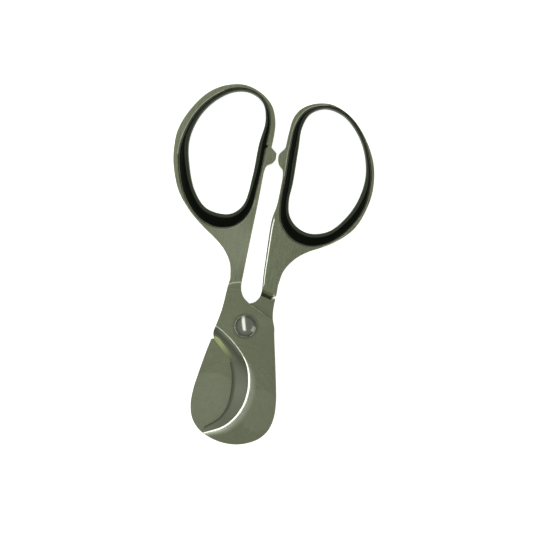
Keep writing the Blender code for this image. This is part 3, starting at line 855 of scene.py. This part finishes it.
def hollowCutter(rear, count=150):
    top = plateTop - bladeShape["grindDepth"]
    lap = lapMiddle + bladeShape["lapGap"] / 2
    shoulder = evenPoints(smoothCurve(bladeShape["shoulder"], step=0.4), count)
    edge = evenPoints(smoothCurve(bladeShape["edgeLine"], step=0.4), count)
    sections = []
    for (sx, sy), (ex, ey) in zip(shoulder, edge):
        size = hypot(ex - sx, ey - sy)
        ux, uy = (ex - sx) / size, (ey - sy) / size
        section = hollowSection(size, sy, ey, top, lap)
        plan = placePoints([(sx + ux * a, sy + uy * a) for a, z in section], rear)
        sections.append([(x, y, placeHeight(z, rear)) for (x, y), (a, z) in zip(plan, section)])
    obj = sweepSections("hollow_cut", sections, False, hollowSteel)

    around = len(sections[0])
    rollEnd = 1 + len(hollow["rollSlopes"])
    buffEnd = rollEnd + len(hollow["buffSlopes"]) + 1
    honedFirst, honedLast = hollow["honedRange"]
    for k in range(count - 1):
        start, strip = k * around, (k + 1) * around - 4      # strip: the honed one
        bareAndSheen = shoulder[k][1] > hollow["highlightLineAbove"]
        # painted sheen on the roll, then a painted highlight on the buffed strip
        paintFaces(obj, rollSteel, range(start + 1, start + rollEnd))
        paintFaces(obj, paintedHighlightSteel if bareAndSheen else shoulderSteel,
                   range(start + rollEnd, start + buffEnd))
        if honedLast < edge[k][1] < honedFirst:
            paintFaces(obj, honedSteel, [strip])
        elif edge[k][1] < 0:
            # painted shade along the hollow's edge
            paintFaces(obj, hollowEdgeShadeSteel, [strip, strip - 1])
            paintFaces(obj, hollowFadeShadeSteel, [strip - 2])
    return obj


def pivotCutter(rear):
    hole, seat = bladeShape["pivotHole"], plateTop - bladeShape["grindDepth"]
    profile = [(0, 6), (hole, 6), (hole, -2), (0, -2)]
    if not rear:
        ring = bladeShape["headSeat"]
        profile = [(0, 6), (ring + 0.2, 6), (ring + 0.2, seat), (ring + 0.05, seat - 0.05),
                   (ring, seat - 0.12), (hole, seat - 0.12), (hole, -2), (0, -2)]
    return spinProfile("pivot_cut", profile, rearBladeSteel if rear else frontBladeSteel)


def makeHalf(name, handle, rear, body):
    angles, radii = ringAngles(handle)

    obj = roundedPlate(name, halfOutline(handle, rear), handleSteel)
    cutters = [ringCutter(handle, angles, radii["rim"]), lapCutter(rear), grindCutter(rear),
               hollowCutter(rear), pivotCutter(rear)]
    # a bevel painted bright as a highlight: inside the rear shank, and along the front blade's neck
    if rear:
        line = [p for p in handle["neckInner"][-2:-1] + handle["shank"]
                if p[1] < shankBevel["end"]]
        cutters.append(bevelCutter("shank_bevel", line, shankBevel, plateTop, shoulderSteel))
    else:
        cutters.append(bevelCutter("blade_bevel", neckLine["line"], neckLine,
                                   plateTop - bladeShape["grindDepth"], paintedHighlightSteel))
    carve(obj, cutters)
    smoothShade(obj)
    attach(obj, body)
    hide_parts(name)
    obj.name = name + "_finished"
    print(name, "made with", len(obj.data.polygons), "faces")
    return angles, radii


frontAngles, frontRadii = makeHalf("front_blade_half", frontHandle, False, "front_half")
rearAngles, rearRadii = makeHalf("rear_blade_half", rearHandle, True, "rear_half")


# black beads that line the finger holes

beadShape = {
    "fit": 0.3,             # gap to the steel
    "crown": 1.25,          # how far in from the hole the bead is highest
    "groove": 0.35,
    "grooveHeight": 0.9,    # half of the groove that the steel rib stands in
    "outerEdge": 1.62,      # height of the outer edge over the middle plane
    "wallHeight": 0.75,     # half of the upright part of the inner wall
    "slopeRound": 1.7,
    "wallSteps": 8,
}


def beadSide(wide, half):
    # upper half of the section: (distance from the hole, height over the middle plane)
    shape = beadShape
    crown, edge = min(shape["crown"], 0.6 * wide), shape["outerEdge"]
    side = [(wide - shape["groove"], shape["grooveHeight"]), (wide, shape["grooveHeight"] + 0.05),
            (wide, edge - 0.1), (wide - 0.04, edge), (wide - 0.12, edge + 0.07)]
    # long slope from the outer edge up to the crown
    start, foot = side[-1]
    for t in (0.25, 0.5, 0.75, 0.9):
        side.append((start - (start - crown) * t,
                     foot + (half - foot) * (1 - (1 - t) ** shape["slopeRound"])))
    # rounded inner wall
    for k in range(shape["wallSteps"] + 1):
        q = radians(90 - 90 * k / shape["wallSteps"])
        side.append((crown * (1 - cos(q)),
                     shape["wallHeight"] + (half - shape["wallHeight"]) * sin(q) ** 0.9))
    return side


def makeBead(name, handle, angles, radii, body):
    half = (beadHigh[2] - beadLow[2]) / mm / 2
    middle = (beadHigh[2] + beadLow[2]) / mm / 2
    sections = []
    for a, h, r in zip(angles, radii["hole"], radii["rim"]):
        side = beadSide(r - beadShape["fit"] - h, half)
        section = side + [(u, -v) for u, v in side[::-1]]
        sections.append([(handle["centre"][0] + (h + u) * cos(a),
                          handle["centre"][1] + (h + u) * sin(a), middle + v)
                         for u, v in section])
    obj = sweepSections(name + "_moulded", sections, True, beadBlack)
    around = len(sections[0])
    wall = around // 2 - beadShape["wallSteps"] - 1      # the inner wall is painted paler, as light falling on it
    for k in range(len(sections)):
        paintFaces(obj, beadLitWall, range(k * around + wall, (k + 1) * around - wall - 1))
    smoothShade(obj, angle=50, weighted=False)
    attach(obj, body)
    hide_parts(name)
    print(name, "made")


makeBead("front_ring_insert", frontHandle, frontAngles, frontRadii, "front_half")
makeBead("rear_ring_insert", rearHandle, rearAngles, rearRadii, "rear_half")


# rivet: domed head with its post, and the plug that closes it from behind

rivetShape = {
    "headRadius": 3.7,
    "rimSlope": 19,         # degrees, how steep the dome is at its rim
    "postRadius": 2.2,
    "bore": 1.5,
    "plugRadius": 1.2,
    "plugHead": 3.6,
    "plugHeadHeight": 0.5,
}


def makeRivet():
    s = rivetShape
    top = headHigh[2] / mm
    low = plateTop - bladeShape["grindDepth"] - 0.12 + 0.3
    bottom = headLow[2] / mm
    steep = s["rimSlope"]
    ball = (s["headRadius"] - 0.12) / sin(radians(steep))
    profile = [(0, top)]
    for k in range(1, 25):
        a = radians(steep * k / 24)
        profile.append((ball * sin(a), top - ball * (1 - cos(a))))
    under = profile[-1][1]
    profile += [(s["headRadius"] - 0.06, under - 0.04), (s["headRadius"] - 0.02, under - 0.09),
                (s["headRadius"], under - 0.18)]
    profile += [(s["headRadius"] - 0.03, low + 0.08), (s["headRadius"] - 0.12, low),
                (s["postRadius"], low), (s["postRadius"], bottom + 0.1),
                (s["postRadius"] - 0.1, bottom), (s["bore"] + 0.1, bottom),
                (s["bore"], bottom + 0.1), (s["bore"], 3.1), (0, 3.1)]
    post = spinProfile("pivot_rivet_dome", profile, domeSteel)
    # the dome's outer edge gets painted shade
    post.data.materials.append(paintedShadeSteel)
    for face in post.data.polygons:
        if hypot(*face.center[:2]) > (s["headRadius"] - 0.13) * mm:
            face.material_index = 1
    h = s["plugHeadHeight"]
    plug = spinProfile("pivot_rivet_plug_turned", [
        (0, 2.8), (s["plugRadius"] - 0.15, 2.8), (s["plugRadius"], 2.65), (s["plugRadius"], h),
        (s["plugHead"] - 0.1, h), (s["plugHead"] - 0.03, h - 0.03), (s["plugHead"], h - 0.1),
        (s["plugHead"], 0.12), (s["plugHead"] - 0.04, 0.04), (s["plugHead"] - 0.12, 0),
        (s["plugHead"] - 0.9, 0), (0, 0)], domeSteel)
    for obj, node in ((post, "pivot_rivet_post"), (plug, "pivot_rivet_plug")):
        smoothShade(obj, angle=40)
        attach(obj, "rear_half")
        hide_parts(node)
    print("rivet made")


makeRivet()


# floor, light, camera

stageLook = {
    "floorColour": (0.93, 0.93, 0.92),
    "floorGlow": 0.75,                    # the floor is a light table
    "floorHalf": 1500,                    # mm from the middle to a side
    "floorHeight": -0.05,                 # mm
    "worldColour": (0.97, 1.0, 0.88),
    "worldStrength": 0.20,
    "lampColour": (0.97, 1.0, 0.88),      # tubes with a slight green cast
    "aim": (0, 0.02, 0),                  # metres, what the lights point at
}


def makeFloor():
    half, z = stageLook["floorHalf"], stageLook["floorHeight"]
    corners = [(-half, -half, z), (half, -half, z), (half, half, z), (-half, half, z)]
    obj = makeObject("floor", corners, [[0, 1, 2, 3]])
    material, tree, shader = startMaterial("pale_floor", stageLook["floorColour"], 0, 0.9)
    shader.inputs["Specular IOR Level"].default_value = 0.1
    shader.inputs["Emission Color"].default_value = (1, 1, 1, 1)
    shader.inputs["Emission Strength"].default_value = stageLook["floorGlow"]
    obj.data.materials.append(material)


# softboxes stand round the scissors: azimuth from +X, fromTop in degrees from straight above,
# distance and size in metres, glow is how bright the box itself looks
leftBox = {"fromTop": 59, "distance": 0.55, "size": (0.30, 0.26), "glow": 1.9}
lightPlan = {f"left_box_{number}": {"azimuth": azimuth, **leftBox}
             for number, azimuth in enumerate((120, 154, 188, 222), 1)}
lightPlan.update({
    "right_box_1": {"azimuth": 8, "fromTop": 62, "distance": 0.6, "size": (0.34, 0.3),
                    "glow": 1.3},
    "right_box_2": {"azimuth": 54, "fromTop": 62, "distance": 0.6, "size": (0.34, 0.3),
                    "glow": 1.3},
    "right_box_3": {"azimuth": 318, "fromTop": 60, "distance": 0.6, "size": (0.3, 0.3),
                    "glow": 1.7},
    "near_box": {"azimuth": 270, "fromTop": 61, "distance": 0.6, "size": (0.34, 0.28),
                 "glow": 1.0},
    "far_box": {"azimuth": 87, "fromTop": 61, "distance": 0.6, "size": (0.28, 0.28),
                "glow": 1.2},
    "right_card": {"azimuth": 342, "fromTop": 38, "distance": 0.6, "size": (0.2, 0.26),
                   "glow": 0.55},
    "long_strip": {"azimuth": 143, "fromTop": 12.1, "distance": 0.51, "size": (0.09, 0.56),
                   "glow": 1.4, "along": 107.5},
})


def addLight(name, azimuth, fromTop, distance, size, glow, along=None):
    # along turns the long side of a box to a direction, otherwise its first side is level
    data = bpy.data.lights.new(name, "AREA")
    data.shape = "RECTANGLE"
    data.size, data.size_y = size
    data.energy = glow * pi * size[0] * size[1]
    data.color = stageLook["lampColour"]
    obj = bpy.data.objects.new(name, data)
    bpy.context.scene.collection.objects.link(obj)
    a, t = radians(azimuth), radians(fromTop)
    out = Vector((cos(a) * sin(t), sin(a) * sin(t), cos(t)))
    if along is None:
        side = Vector((-sin(a), cos(a), 0))          # level side
    else:
        side = Vector((cos(radians(along)), sin(radians(along)), 0)).cross(out).normalized()
    up = out.cross(side)
    obj.matrix_world = Matrix((side, up, out)).transposed().to_4x4()
    obj.location = Vector(stageLook["aim"]) + out * distance


def makeStage():
    makeFloor()
    for name, plan in lightPlan.items():
        addLight(name, **plan)
    world = bpy.data.worlds.new("soft_room")
    bpy.context.scene.world = world
    world.use_nodes = True
    back = world.node_tree.nodes["Background"]
    back.inputs[0].default_value = (*stageLook["worldColour"], 1)
    back.inputs[1].default_value = stageLook["worldStrength"]
    bpy.context.scene.view_settings.view_transform = "Standard"


cameraPlan = {
    "place": (3.18, 21.0, 402.3),         # mm, straight above the scissors
    "turn": 10.75,                        # degrees, so the tool leans in the picture
    "sensor": 36,                         # mm
    "lens": 36 * 400 / 179.5,             # mm, shows 179.5 mm across at 400 mm
}


def makeCamera():
    plan = cameraPlan
    data = bpy.data.cameras.new("camera")
    data.sensor_width = plan["sensor"]
    data.lens = plan["lens"]
    data.clip_start, data.clip_end = 0.01, 20
    camera = bpy.data.objects.new("camera", data)
    bpy.context.scene.collection.objects.link(camera)
    camera.location = [value * mm for value in plan["place"]]
    camera.rotation_euler = (0, 0, radians(plan["turn"]))
    bpy.context.scene.camera = camera


makeStage()
makeCamera()
print("stage ready")
